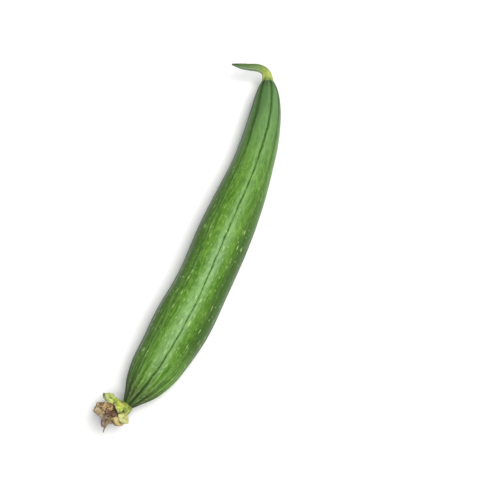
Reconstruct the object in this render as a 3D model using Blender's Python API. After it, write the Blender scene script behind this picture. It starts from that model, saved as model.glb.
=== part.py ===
"""A sponge gourd as picked: green fruit, curled stalk, calyx and the withered flower still on its tip.

The gourd lies on its belly along X, with the stalk at +X and the flower at -X. It is bowed sideways, towards -Y.
All sizes are metres and +Z is up. The origin is on the surface it lies on, under the middle of its bounding box.

Two helpers shape every piece. skin() closes a stack of rings into a solid, and blade() makes a thick leaf-like
tongue. Angles round the gourd are counted from straight up (+Z) and grow towards -Y.
"""
import math

import bmesh
import bpy
import numpy as np

GAP = 0.0003                # clearance between neighbouring pieces

# Fruit: share of the length, counted from the flower's end, and share of the largest radius there.
FRUIT_LENGTH = 0.285
FRUIT_RADIUS = 0.0216
FRUIT_PROFILE = [(0.0, 0.20), (0.02, 0.35), (0.05, 0.58), (0.10, 0.80), (0.16, 0.91), (0.24, 1.0),
                 (0.36, 0.95), (0.50, 0.97), (0.62, 0.895), (0.73, 0.765), (0.84, 0.665), (0.92, 0.535),
                 (0.97, 0.385), (1.0, 0.215)]
FRUIT_ROWS = 58
FRUIT_BOW = 0.0600 * FRUIT_LENGTH     # sideways bow of the middle, towards -Y
BOW_POWER_AT_FLOWER = 2.4             # a higher power keeps the middle straighter and turns later
BOW_POWER_AT_STALK = 3.4
FRUIT_FLAT = 0.0010                   # how deep the belly is pressed flat where it lies
FRUIT_SAG = 0.8                       # how far its centre line sinks where it is thin, to keep its belly level
SAG_ENDS = (0.20, 0.62)               # between these shares of its length it sags in full

# Ten furrows, unevenly spaced round the fruit, shallow along it and deep where they meet at its ends.
# Each is (angle half way along, degrees that it leans towards -Y by the time it reaches the ends).
FURROWS = [(12, 10), (55, 3), (88, 0), (120, -4), (154, 2), (188, 5), (223, -3), (258, 0), (293, 4), (330, -2)]
COLUMNS_PER_RIB = 6
FURROW_DEPTH = 0.020
FURROW_DEPTH_AT_FLOWER = 0.085
FURROW_DEPTH_AT_STALK = 0.040

# Stalk: it leaves along the fruit, turns towards +Y and ends in a slanted point.
STALK_LENGTH = 0.0368
STALK_PROFILE = [(0.0, 0.0044), (0.10, 0.0039), (0.30, 0.0032), (0.60, 0.0027), (0.78, 0.0022),
                 (0.92, 0.0013), (1.0, 0.0006)]
STALK_TURN = 88                       # degrees
STALK_TURN_SHARE = 0.53               # share of its length in which it turns
STALK_RISE = 0.0020
STALK_SEAT = 0.993                    # its foot faces the fruit's end, whose slope is read from here on
STALK_LEVEL_SHARE = 0.30              # share of its length in which that slope runs out
STALK_RIBS = 5
STALK_ROWS = 22
STALK_COLUMNS = 20

# Leaves of the calyx and the flower, which blade() makes from these and from the tables below.
LEAF_ROWS = 11
LEAF_COLUMNS = 13
LEAF_TIP = 0.97                       # a leaf ends this near its point, so that no face is a sliver
PLEAT_TURN = 2.5                      # radians that the pleats drift sideways along a leaf

# Calyx: a short collar, bent towards +Y, and five broad sepals that lie back from the flower or over it. Each is
# (angle round the collar, lean from its axis at root and tip, roll at root and tip, length, width).
COLLAR_LENGTH = 0.0040
COLLAR_PROFILE = [(0.0, 0.0043), (0.5, 0.0051), (1.0, 0.0058)]
COLLAR_TURN = 28                      # degrees
SEPALS = [(-86, 46, 52, 5, 62, 0.0154, 0.0100), (-58, 46, 48, 5, 64, 0.0140, 0.0082),
          (-8, 40, 62, 0, 0, 0.0084, 0.0108), (74, 46, 44, -10, -62, 0.0084, 0.0098),
          (190, 50, 76, 0, 0, 0.0095, 0.0085)]
SEPAL_THICKNESS = 0.0010
SEPAL_ROOT = (0.0011, 0.0044)         # how far inside the collar's rim, and how far from its axis

# Withered flower: a knobbly core, bent a little further, with five shrivelled petals and one dry spike. Each petal
# is (angle round the core, lean at root and tip, roll at root and tip, length, width, cup in radians).
CORE_LENGTH = 0.0125
CORE_PROFILE = [(0.0, 0.0030), (0.25, 0.0042), (0.5, 0.0050), (0.75, 0.0042), (1.0, 0.0018)]
CORE_TURN = 10                        # degrees
PETALS = [(-76, 28, -22, 25, 45, 0.0172, 0.0170, 0.9), (-44, 36, -16, 5, 16, 0.0104, 0.0092, 0.8),
          (20, 40, -26, 0, -10, 0.0096, 0.0080, 0.9), (84, 70, 54, -40, -50, 0.0080, 0.0142, 0.6),
          (118, 36, -6, -30, -36, 0.0146, 0.0166, 0.8)]
PETAL_THICKNESS = 0.0012
PETAL_ROOT = (0.0042, 0.0030)         # how far along the core, and how far from its axis
CORE_STATIONS = 9                     # rings along the core
SPIKE_STATION = 6                     # the one that the spike starts from
SPIKE_HEADING = -4                    # degrees from -X towards +Y
SPIKE_LENGTH = 0.0150
SPIKE_RADIUS = 0.0014


def smooth(value):
    """An S-curve from 0 to 1 over the same range."""
    value = np.clip(value, 0.0, 1.0)
    return value * value * (3.0 - 2.0 * value)


def along(profile, share):
    """Read a profile's value at each share: cubic pieces whose slopes are the mean of those on either side."""
    xs = np.array([point[0] for point in profile])
    ys = np.array([point[1] for point in profile])
    step = np.diff(xs)
    rise = np.diff(ys) / step
    slope = np.concatenate([rise[:1], (rise[:-1] + rise[1:]) / 2, rise[-1:]])
    piece = np.clip(np.searchsorted(xs, share, side="right") - 1, 0, len(step) - 1)
    t = (share - xs[piece]) / step[piece]
    start = ys[piece] * (1 + 2 * t) * (1 - t) ** 2 + ys[piece + 1] * t * t * (3 - 2 * t)
    return start + step[piece] * t * (1 - t) * (slope[piece] * (1 - t) - slope[piece + 1] * t)


def round_directions(tangents, angles):
    """Unit vectors round each tangent, at angles in radians from straight up and growing to its right."""
    up = np.array([0.0, 0.0, 1.0])
    left = np.cross(up, tangents)
    left /= np.linalg.norm(left, axis=-1, keepdims=True)
    over = np.cross(tangents, left)
    cosine = np.cos(angles)[..., None]
    sine = np.sin(angles)[..., None]
    return cosine * over[:, None, :] - sine * left[:, None, :]


def path(start, headings, length, rise=0.0):
    """A level path of the given length whose heading, in radians from +X towards +Y, is given point by point."""
    steps = np.full(len(headings) - 1, length / (len(headings) - 1))
    middle = (headings[:-1] + headings[1:]) / 2
    points = np.zeros((len(headings), 3))
    points[1:, 0] = np.cumsum(steps * np.cos(middle))
    points[1:, 1] = np.cumsum(steps * np.sin(middle))
    points[:, 2] = rise * smooth(np.linspace(0.0, 1.0, len(headings)))
    return points + start


def skin(rings):
    """Vertices and triangles of the solid through a stack of rings, closed by a fan at each end."""
    rows, columns, _ = rings.shape
    vertices = np.concatenate([rings.reshape(-1, 3), rings[:1].mean(axis=1), rings[-1:].mean(axis=1)])
    first, last = rows * columns, rows * columns + 1
    faces = []
    for column in range(columns):
        after = (column + 1) % columns
        faces.append((first, after, column))
        faces.append((last, (rows - 1) * columns + column, (rows - 1) * columns + after))
        for row in range(rows - 1):
            a, b = row * columns + column, row * columns + after
            faces.append((a, b, b + columns))
            faces.append((a, b + columns, a + columns))
    return vertices, faces


def blade(root, axis, angle, lean, roll, length, width, thickness, cup, waves, pleats, pleat_depth, narrowing,
          blunt, phase):
    """A thick leaf that leaves root at lean[0] degrees from the axis and has bent to lean[1] at its tip.

    Its centre line lies in the plane of the axis and the given angle round it, and it turns about that line from
    roll[0] to roll[1]. Across, it is an arc that turns by cup radians to each margin. Its outline is a rounded
    oval, which narrows and is blunt at its tip. waves lets its margins rise and fall, and pleats run along it.
    """
    out = round_directions(-axis[None, :], np.radians([angle]))[0, 0]
    share = np.linspace(0.0, 1.0, LEAF_ROWS)
    bend = np.radians(lean[0] + (lean[1] - lean[0]) * share)[:, None]
    turn = np.radians(roll[0] + (roll[1] - roll[0]) * smooth(share))[:, None]
    ahead = np.cos(bend) * axis + np.sin(bend) * out
    level = np.cross(axis, out)
    rise = np.cos(bend) * out - np.sin(bend) * axis
    side = np.cos(turn) * level + np.sin(turn) * rise
    back = np.cos(turn) * rise - np.sin(turn) * level
    centre = np.zeros((LEAF_ROWS, 3))
    centre[1:] = np.cumsum((ahead[:-1] + ahead[1:]) / 2, axis=0) * length / (LEAF_ROWS - 1)
    centre += root
    half = 0.5 * width * np.sin(math.pi * (0.16 + narrowing * share ** 1.2))
    half = (half * np.sqrt(1.0 - (LEAF_TIP * share) ** blunt))[:, None]
    across = np.linspace(-1.0, 1.0, LEAF_COLUMNS)
    ripple = waves * np.sin(2 * math.pi * (1.5 * share[:, None] + 0.25 * np.sign(across))) * across ** 2
    lift = half * (ripple - (1.0 - np.cos(cup * across)) / cup)
    fold = np.cos(math.pi * pleats * across + PLEAT_TURN * share[:, None] + phase)
    lift = lift + pleat_depth * fold * smooth(share / 0.25)[:, None]
    sheet = centre[:, None] + side[:, None] * (half * np.sin(cup * across) / cup)[..., None]
    sheet = sheet + back[:, None] * lift[..., None]
    thick = back[:, None] * (0.5 * thickness * (1.0 - 0.35 * across ** 2))[None, :, None]
    outer = (sheet + thick).reshape(-1, 3)
    inner = (sheet - thick).reshape(-1, 3)
    count = LEAF_ROWS * LEAF_COLUMNS
    faces = []
    for row in range(LEAF_ROWS - 1):
        for column in range(LEAF_COLUMNS - 1):
            a = row * LEAF_COLUMNS + column
            b, c, d = a + 1, a + LEAF_COLUMNS + 1, a + LEAF_COLUMNS
            faces += [(a, b, c), (a, c, d)]
            faces += [(count + c, count + b, count + a), (count + d, count + c, count + a)]
    rim = list(range(LEAF_COLUMNS))
    rim += [row * LEAF_COLUMNS + LEAF_COLUMNS - 1 for row in range(1, LEAF_ROWS)]
    rim += [(LEAF_ROWS - 1) * LEAF_COLUMNS + column for column in range(LEAF_COLUMNS - 2, -1, -1)]
    rim += [row * LEAF_COLUMNS for row in range(LEAF_ROWS - 2, 0, -1)]
    for here, there in zip(rim, rim[1:] + rim[:1]):
        faces += [(here, count + here, count + there), (here, count + there, there)]
    return np.concatenate([outer, inner]), faces


def finish(name, colour, roughness):
    """A plain material with one colour and one roughness."""
    material = bpy.data.materials.new(name)
    material.use_nodes = True
    shader = material.node_tree.nodes["Principled BSDF"]
    shader.inputs["Base Color"].default_value = (*colour, 1.0)
    shader.inputs["Roughness"].default_value = roughness
    shader.inputs["Metallic"].default_value = 0.0
    return material


def solid(name, shape, material):
    """An object with the given vertices and triangles, its faces turned outwards."""
    vertices, faces = shape
    mesh = bpy.data.meshes.new(name)
    mesh.from_pydata([tuple(vertex) for vertex in vertices], [], faces)
    corners = vertices[np.array(faces)]
    volume = np.einsum("ij,ij->i", corners[:, 0], np.cross(corners[:, 1], corners[:, 2])).sum()
    if volume < 0:
        mesh.flip_normals()
    mesh.shade_smooth()
    mesh.materials.append(material)
    piece = bpy.data.objects.new(name, mesh)
    bpy.context.collection.objects.link(piece)
    return piece


def fill_pockets(mesh):
    """Keep the largest shell of a mesh, which fills the pockets that are sealed inside it."""
    shells = bmesh.new()
    shells.from_mesh(mesh)
    largest = set()
    waiting = set(shells.verts)
    while waiting:
        front = {waiting.pop()}
        shell = set(front)
        while front:
            front = {edge.other_vert(vertex) for vertex in front for edge in vertex.link_edges} - shell
            shell |= front
        waiting -= shell
        largest = max(largest, shell, key=len)
    bmesh.ops.delete(shells, geom=[vertex for vertex in shells.verts if vertex not in largest], context="VERTS")
    shells.to_mesh(mesh)
    shells.free()


def grow_together(body, repeats):
    """Join the repeats to the body they grow from, as one solid."""
    gathered = bpy.data.collections.new(body.name + "_repeats")
    bpy.context.scene.collection.children.link(gathered)
    for piece in repeats:
        bpy.context.collection.objects.unlink(piece)
        gathered.objects.link(piece)
    union = body.modifiers.new("grow_together", "BOOLEAN")
    union.operation = "UNION"
    union.operand_type = "COLLECTION"
    union.collection = gathered
    union.solver = "EXACT"
    joined = bpy.data.meshes.new_from_object(body.evaluated_get(bpy.context.evaluated_depsgraph_get()))
    body.modifiers.clear()
    body.data = joined
    for piece in repeats:
        bpy.data.objects.remove(piece)
    bpy.data.collections.remove(gathered)
    fill_pockets(joined)
    joined.shade_smooth()


def fruit_spine(share):
    """The fruit's centre line: a power curve from its middle to each end, which sags where the fruit is thin."""
    offset = np.abs(2.0 * share - 1.0)
    bend = offset ** np.where(share < 0.5, BOW_POWER_AT_FLOWER, BOW_POWER_AT_STALK)
    held_up = 0.90 * smooth(1.0 - share / SAG_ENDS[0])
    held_up = held_up + 0.75 * smooth((share - SAG_ENDS[1]) / (1.0 - SAG_ENDS[1]))
    sag = FRUIT_SAG * (1.0 - held_up) * (1.0 - along(FRUIT_PROFILE, share))
    points = np.zeros((len(share), 3))
    points[:, 0] = FRUIT_LENGTH * share
    points[:, 1] = -FRUIT_BOW * (1.0 - bend)
    points[:, 2] = FRUIT_RADIUS * (1.0 - sag) - FRUIT_FLAT
    return points


# The fruit's headings at its ends, in degrees towards +Y: from -X at the flower and from +X at the stalk.
TIP_HEADING = math.degrees(math.atan(2 * BOW_POWER_AT_FLOWER * FRUIT_BOW / FRUIT_LENGTH))
STALK_HEADING = math.degrees(math.atan(2 * BOW_POWER_AT_STALK * FRUIT_BOW / FRUIT_LENGTH))


def make_fruit():
    """The green body: rings round a bowed spine, furrowed lengthwise, with its belly pressed flat."""
    share = 0.5 - 0.5 * np.cos(math.pi * np.linspace(0.0, 1.0, FRUIT_ROWS))
    share = 0.4 * np.linspace(0.0, 1.0, FRUIT_ROWS) + 0.6 * share
    spine = fruit_spine(share)
    tangents = np.gradient(spine, axis=0)
    tangents /= np.linalg.norm(tangents, axis=1, keepdims=True)
    middle, lean = np.array(FURROWS, dtype=float).T
    starts = middle + lean * np.abs(2.0 * share[:, None] - 1.0) ** 1.5
    widths = np.diff(np.concatenate([starts, starts[:, :1] + 360.0], axis=1))
    across = np.arange(COLUMNS_PER_RIB) / COLUMNS_PER_RIB
    angles = np.radians((starts[..., None] + widths[..., None] * across).reshape(FRUIT_ROWS, -1))
    valley = np.tile(1.0 - np.sin(math.pi * across) ** 0.6, len(FURROWS))
    depth = FURROW_DEPTH + FURROW_DEPTH_AT_FLOWER * np.exp(-(share / 0.10) ** 2)
    depth = depth + FURROW_DEPTH_AT_STALK * np.exp(-((1.0 - share) / 0.12) ** 2)
    radius = FRUIT_RADIUS * along(FRUIT_PROFILE, share)
    radii = radius[:, None] * (1.0 - depth[:, None] * valley[None, :])
    directions = round_directions(tangents, angles)
    rings = spine[:, None] + directions * radii[..., None]
    rings[..., 2] = np.maximum(rings[..., 2], 0.0)
    return solid("fruit", skin(rings), finish("fruit_skin", (0.13, 0.30, 0.05), 0.42))


def make_stalk():
    """The fruit stalk: a five-ribbed sweep that flares at its foot and tapers along its inner side."""
    share = np.linspace(0.0, 1.0, STALK_ROWS)
    headings = np.radians(STALK_HEADING + STALK_TURN * smooth(share / STALK_TURN_SHARE))
    foot = fruit_spine(np.array([1.0]))[0]
    foot += GAP * np.array([math.cos(headings[0]), math.sin(headings[0]), 0.0])
    centre = path(foot, headings, STALK_LENGTH, STALK_RISE)
    near = fruit_spine(np.array([STALK_SEAT, 1.0]))
    pitch = (near[1, 2] - near[0, 2]) / np.linalg.norm(near[1, :2] - near[0, :2])
    pitch = pitch * (1.0 - smooth(share / STALK_LEVEL_SHARE))
    centre[1:, 2] += np.cumsum(pitch[:-1]) * STALK_LENGTH / (STALK_ROWS - 1)
    tangents = np.stack([np.cos(headings), np.sin(headings), pitch], axis=1)
    tangents /= np.linalg.norm(tangents, axis=1, keepdims=True)
    outer_side = np.stack([np.sin(headings), -np.cos(headings), np.zeros(STALK_ROWS)], axis=1)
    radius = along(STALK_PROFILE, share)
    full = along(STALK_PROFILE, np.minimum(share, 0.6))
    centre = centre + outer_side * (full - radius)[:, None]
    angles = np.arange(STALK_COLUMNS) * 2 * math.pi / STALK_COLUMNS
    ribs = 1.0 + 0.07 * np.cos(STALK_RIBS * angles)
    directions = round_directions(tangents, np.tile(angles, (STALK_ROWS, 1)))
    rings = centre[:, None] + directions * (radius[:, None] * ribs)[..., None]
    return solid("stem", skin(rings), finish("stalk_skin", (0.22, 0.33, 0.09), 0.55))


def tip_direction(heading):
    """The level unit vector at a heading in degrees from -X towards +Y."""
    return np.array([-math.cos(math.radians(heading)), math.sin(math.radians(heading)), 0.0])


def tip_path(start, headings, length):
    """A level path like path(), with headings in degrees from -X towards +Y. Gives its points and tangents."""
    turned = np.radians(180.0 - headings)
    tangents = np.stack([np.cos(turned), np.sin(turned), np.zeros(len(turned))], axis=1)
    return path(start, turned, length), tangents


def collar_path():
    """The collar's centre line, from the fruit's tip outwards, with its tangents."""
    headings = TIP_HEADING + COLLAR_TURN * smooth(np.linspace(0.0, 1.0, 6))
    seat = fruit_spine(np.array([0.0]))[0] + GAP * tip_direction(TIP_HEADING)
    return tip_path(seat, headings, COLLAR_LENGTH)


def make_calyx():
    """The calyx: a collar seated on the fruit's tip, with five blunt sepals that bend back."""
    centre, tangents = collar_path()
    angles = np.arange(20) * 2 * math.pi / 20
    directions = round_directions(-tangents, np.tile(angles, (len(centre), 1)))
    radius = along(COLLAR_PROFILE, np.linspace(0.0, 1.0, len(centre)))
    skin_green = finish("calyx_skin", (0.42, 0.46, 0.08), 0.60)
    collar = solid("calyx", skin(centre[:, None] + directions * radius[:, None, None]), skin_green)
    axis = tangents[-1]
    rim = centre[-1] - axis * SEPAL_ROOT[0]
    sepals = []
    for number, (angle, *pose, length, width) in enumerate(SEPALS):
        out = round_directions(-axis[None, :], np.radians([angle]))[0, 0]
        shape = blade(rim + out * SEPAL_ROOT[1], axis, angle, pose[:2], pose[2:], length, width, SEPAL_THICKNESS,
                      cup=0.45, waves=0.10, pleats=2.0, pleat_depth=0.00018, narrowing=0.72, blunt=12,
                      phase=40 + 5 * number)
        sepals.append(solid("sepal_%d" % number, shape, skin_green))
    grow_together(collar, sepals)
    return collar


def make_withered_flower():
    """The dried flower: a bent, knobbly core with five shrivelled petals and a dry spike grown from it."""
    share = np.linspace(0.0, 1.0, CORE_STATIONS)
    collar, outwards = collar_path()
    headings = TIP_HEADING + COLLAR_TURN + CORE_TURN * smooth(share / 0.6)
    centre, tangents = tip_path(collar[-1] + GAP * outwards[-1], headings, CORE_LENGTH)
    angles = np.arange(20) * 2 * math.pi / 20
    lumps = 1.0 + 0.09 * np.sin(math.pi * share)[:, None] * np.cos(5 * angles + 4.0 * share[:, None])
    directions = round_directions(-tangents, np.tile(angles, (len(centre), 1)))
    rings = centre[:, None] + directions * (along(CORE_PROFILE, share)[:, None] * lumps)[..., None]
    dry = finish("withered_petal", (0.36, 0.25, 0.13), 0.85)
    core = solid("withered_flower", skin(rings), dry)
    axis = tangents[-1]
    root = centre[0] + tangents[0] * PETAL_ROOT[0]
    grown = []
    for number, (angle, *pose, length, width, cup) in enumerate(PETALS):
        out = round_directions(-axis[None, :], np.radians([angle]))[0, 0]
        shape = blade(root + out * PETAL_ROOT[1], axis, angle, pose[:2], pose[2:], length, width, PETAL_THICKNESS,
                      cup=cup, waves=0.16, pleats=3.0, pleat_depth=0.0007, narrowing=0.55, blunt=5,
                      phase=80 + 5 * number)
        grown.append(solid("petal_%d" % number, shape, dry))
    share = np.linspace(0.0, 1.0, 5)
    centre, tangents = tip_path(centre[SPIKE_STATION], np.full(len(share), SPIKE_HEADING), SPIKE_LENGTH)
    directions = round_directions(-tangents, np.tile(np.arange(8) * 2 * math.pi / 8, (len(share), 1)))
    rings = centre[:, None] + directions * (SPIKE_RADIUS * (1.0 - 0.75 * share))[:, None, None]
    grown.append(solid("spike", skin(rings), dry))
    grow_together(core, grown)
    return core


def centre_on_origin(pieces):
    """Hang the pieces on one empty that puts the middle of their box over the origin."""
    corners = np.array([vertex.co for piece in pieces for vertex in piece.data.vertices])
    middle = (corners.min(axis=0) + corners.max(axis=0)) / 2
    holder = bpy.data.objects.new("gourd", None)
    bpy.context.collection.objects.link(holder)
    holder.location = (-middle[0], -middle[1], 0.0)
    for piece in pieces:
        piece.parent = holder


for leftover in list(bpy.data.objects):
    bpy.data.objects.remove(leftover)
centre_on_origin([make_fruit(), make_stalk(), make_calyx(), make_withered_flower()])
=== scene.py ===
"""A sponge gourd as picked, over its CAD model: green fruit, curled stalk, calyx and withered flower."""
import math

import bpy
import numpy as np
from mathutils import Matrix, Vector


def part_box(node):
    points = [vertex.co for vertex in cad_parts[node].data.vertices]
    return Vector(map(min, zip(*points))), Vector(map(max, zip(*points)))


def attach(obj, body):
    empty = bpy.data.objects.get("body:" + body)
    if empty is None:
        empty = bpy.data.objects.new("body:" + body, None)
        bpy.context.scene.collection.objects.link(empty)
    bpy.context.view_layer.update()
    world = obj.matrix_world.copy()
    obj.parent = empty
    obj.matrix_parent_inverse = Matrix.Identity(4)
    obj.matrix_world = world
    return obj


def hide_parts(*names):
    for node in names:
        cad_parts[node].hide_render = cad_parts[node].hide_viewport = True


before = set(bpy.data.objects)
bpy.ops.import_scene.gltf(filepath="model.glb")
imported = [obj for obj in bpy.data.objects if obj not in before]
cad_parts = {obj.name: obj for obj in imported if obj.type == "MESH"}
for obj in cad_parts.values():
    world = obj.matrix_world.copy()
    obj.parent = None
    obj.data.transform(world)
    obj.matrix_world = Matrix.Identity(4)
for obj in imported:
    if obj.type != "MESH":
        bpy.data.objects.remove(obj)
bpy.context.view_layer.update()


# ----------------------------------------------------------------------------------------------------------
# Fruit. The green body of the gourd grew as one piece: waxy skin over firm flesh, round in section and
# slightly bowed, with ten shallow furrows from its flower to its stalk. A thin dark line lies along the
# bottom of each furrow, and pale corky flecks lie lengthwise in loose rows beside it.
# ----------------------------------------------------------------------------------------------------------
FRUIT_LENGTH = 0.285
FRUIT_RADIUS = 0.0216
FRUIT_PROFILE = [(0.0, 0.20), (0.02, 0.35), (0.05, 0.58), (0.10, 0.80), (0.16, 0.91), (0.24, 1.0),
                 (0.36, 0.95), (0.50, 0.97), (0.62, 0.895), (0.73, 0.765), (0.84, 0.665), (0.92, 0.535),
                 (0.97, 0.385), (1.0, 0.215)]
FRUIT_ROWS = 470
FRUIT_BOW = 0.0600 * FRUIT_LENGTH
BOW_POWER_AT_FLOWER = 2.4
BOW_POWER_AT_STALK = 3.4
FRUIT_FLAT = 0.0010                   # how far the belly is pressed flat
FRUIT_SAG = 0.8
SAG_ENDS = (0.20, 0.62)               # shares of the length beyond which the ends are held up
SAG_SPARED = (0.90, 0.75)             # how much of the sag each end is spared

# Each furrow: angle half way along, degrees that it leans by its ends, and how dark its line is.
FURROWS = [(12, 10, 1.0), (55, 3, 0.34), (88, 0, 0.42), (120, -4, 0.48), (154, 2, 0.30), (188, 5, 0.36),
           (223, -3, 0.40), (258, 0, 0.46), (293, 4, 0.36), (330, -2, 0.74)]
COLUMNS_PER_RIB = 20
COLUMN_CROWDING = 0.72                # how far the columns crowd towards the furrows
FURROW_DEPTH = 0.020
FURROW_DEPTH_AT_FLOWER = 0.085
FURROW_DEPTH_AT_STALK = 0.040
DEEPER_ENDS = (0.10, 0.12)            # shares of the length over which each end's extra depth fades
FURROW_WANDER = 1.1                   # degrees
WANDER_PITCHES = (0.022, 0.006)
CREASE_DEPTH = 0.00030
CREASE_WIDTH = 0.00042
CREASE_RADIUS = 0.010                 # where the fruit is thinner than this, its creases are shallower
RIDGES_PER_RIB = 3
RIDGE_HEIGHT = 0.00030
RIDGE_PEAK = 0.07                     # share of the length where the ridges are highest, and their spread
LUMP_HEIGHTS = (0.00022, 0.00011)     # of the skin's slow lumps and of its small ones
LUMP_PITCHES = (0.024, 0.006)
END_FADE = 0.06                       # share of the length over which lumps and wander fade at each end

# The skin's patterns: cells per metre along the fruit, then twice across it.
SKIN_CLOUDS = (45.0, 130.0, 130.0)
SKIN_STREAKS = (80.0, 900.0, 900.0)
SKIN_SPECKS = (420.0, 1100.0, 1100.0)
SKIN_BLOTCHES = (170.0, 380.0, 380.0)
LINE_DASHES = (260.0, 40.0, 40.0)
LINE_SWELLS = (330.0, 30.0, 30.0)
# One long fleck, short fleck or dark dash in each kept cell of this size, in metres.
LONG_FLECK = (0.0062, 0.0020, 0.0020)
SHORT_FLECK = (0.0034, 0.0014, 0.0014)
DARK_DASH = (0.0060, 0.0017, 0.0017)
FLECK_WARP = 0.0011

# The skin's colours, in linear light.
SKIN_DEEP, SKIN_BRIGHT = (0.062, 0.166, 0.014), (0.104, 0.232, 0.023)
STREAK_PALE, STREAK_DARK = (0.160, 0.310, 0.052), (0.040, 0.112, 0.010)
SPECK_PALE, SPECK_DARK = (0.190, 0.330, 0.056), (0.034, 0.096, 0.010)
BLOTCH_PALE, BLOTCH_DARK = (0.150, 0.300, 0.046), (0.040, 0.112, 0.012)
# Painted shade for the right flank and for the left flank.
RIGHT_FLANK_SHADE, LEFT_FLANK_SHADE = (0.024, 0.072, 0.004), (0.032, 0.086, 0.009)
# Painted highlight for the crown.
HIGHLIGHT_WHITE = (0.225, 0.400, 0.170)
NECK_GREY, NECK_PALE, NECK_DARK = (0.078, 0.158, 0.066), (0.150, 0.285, 0.110), (0.030, 0.078, 0.014)
# Painted shade for the tip's left side; olive-brown for the flower's end, partly its own colour and partly
# painted shadow under the calyx.
TIP_SHADE, END_BROWN_AND_SHADOW = (0.050, 0.110, 0.012), (0.038, 0.042, 0.010)
STALK_RING, SHOULDER_YELLOW = (0.024, 0.060, 0.012), (0.250, 0.340, 0.060)
FLECK_GREEN, FLECK_PALE = (0.260, 0.430, 0.100), (0.400, 0.580, 0.230)
DASH_GREEN = (0.030, 0.086, 0.012)
# Painted shade for the valleys near the flower, the furrow line's own dark, and a painted highlight for its
# edges.
VALLEY_SHADE, LINE_DARK, LINE_EDGE_HIGHLIGHT = (0.014, 0.040, 0.006), (0.018, 0.054, 0.010), (0.250, 0.430, 0.180)
# Painted highlight for the ridges' crests and painted shade for between them.
CREST_HIGHLIGHT, TROUGH_SHADE = (0.200, 0.360, 0.100), (0.030, 0.086, 0.012)


def smooth(value):
    """An S-curve from 0 to 1 over the same range."""
    value = np.clip(value, 0.0, 1.0)
    return value * value * (3.0 - 2.0 * value)


def along(profile, share):
    """A profile's value at each share: cubic pieces whose slopes are the mean of those on either side."""
    xs = np.array([point[0] for point in profile])
    ys = np.array([point[1] for point in profile])
    step = np.diff(xs)
    rise = np.diff(ys) / step
    slope = np.concatenate([rise[:1], (rise[:-1] + rise[1:]) / 2, rise[-1:]])
    piece = np.clip(np.searchsorted(xs, share, side="right") - 1, 0, len(step) - 1)
    t = (share - xs[piece]) / step[piece]
    start = ys[piece] * (1 + 2 * t) * (1 - t) ** 2 + ys[piece + 1] * t * t * (3 - 2 * t)
    return start + step[piece] * t * (1 - t) * (slope[piece] * (1 - t) - slope[piece + 1] * t)


def lumps(points, size, seed):
    """Soft noise from -1 to 1: random values on a cubic lattice of this pitch, eased between its nodes."""
    lattice = np.random.default_rng(seed).uniform(-1.0, 1.0, (16, 16, 16))
    cell = np.floor(points / size).astype(int)
    t = smooth(points / size - cell)
    total = 0.0
    for bits in np.ndindex(2, 2, 2):
        near = (cell + bits) % 16
        weight = np.prod(np.where(np.array(bits) == 1, t, 1.0 - t), axis=-1)
        total = total + weight * lattice[near[..., 0], near[..., 1], near[..., 2]]
    return total


def round_directions(tangents, angles):
    """Unit vectors round each tangent, at angles in radians from straight up and growing to its right."""
    left = np.cross(np.array([0.0, 0.0, 1.0]), tangents)
    left /= np.linalg.norm(left, axis=-1, keepdims=True)
    upward = np.cross(tangents, left)
    return np.cos(angles)[..., None] * upward[:, None, :] - np.sin(angles)[..., None] * left[:, None, :]


def ring_angles(rows, columns):
    """The angles of evenly spaced points round a ring, the same in every row."""
    return np.tile(np.arange(columns) * 2 * math.pi / columns, (rows, 1))


def straightened(distance, radius, angles):
    """Where points lie on a piece made straight: their distance along it, and a circle's sine and cosine."""
    return np.stack(np.broadcast_arrays(distance[:, None], radius * np.sin(angles), radius * np.cos(angles)),
                    axis=-1)


def fruit_spine(share):
    """The fruit's centre line: a power curve from its middle to each end, sagging where the fruit is thin."""
    offset = np.abs(2.0 * share - 1.0)
    bend = offset ** np.where(share < 0.5, BOW_POWER_AT_FLOWER, BOW_POWER_AT_STALK)
    held_up = SAG_SPARED[0] * smooth(1.0 - share / SAG_ENDS[0])
    held_up = held_up + SAG_SPARED[1] * smooth((share - SAG_ENDS[1]) / (1.0 - SAG_ENDS[1]))
    sag = FRUIT_SAG * (1.0 - held_up) * (1.0 - along(FRUIT_PROFILE, share))
    points = np.zeros((len(share), 3))
    points[:, 0] = FRUIT_LENGTH * share
    points[:, 1] = -FRUIT_BOW * (1.0 - bend)
    points[:, 2] = FRUIT_RADIUS * (1.0 - sag) - FRUIT_FLAT
    return points


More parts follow.
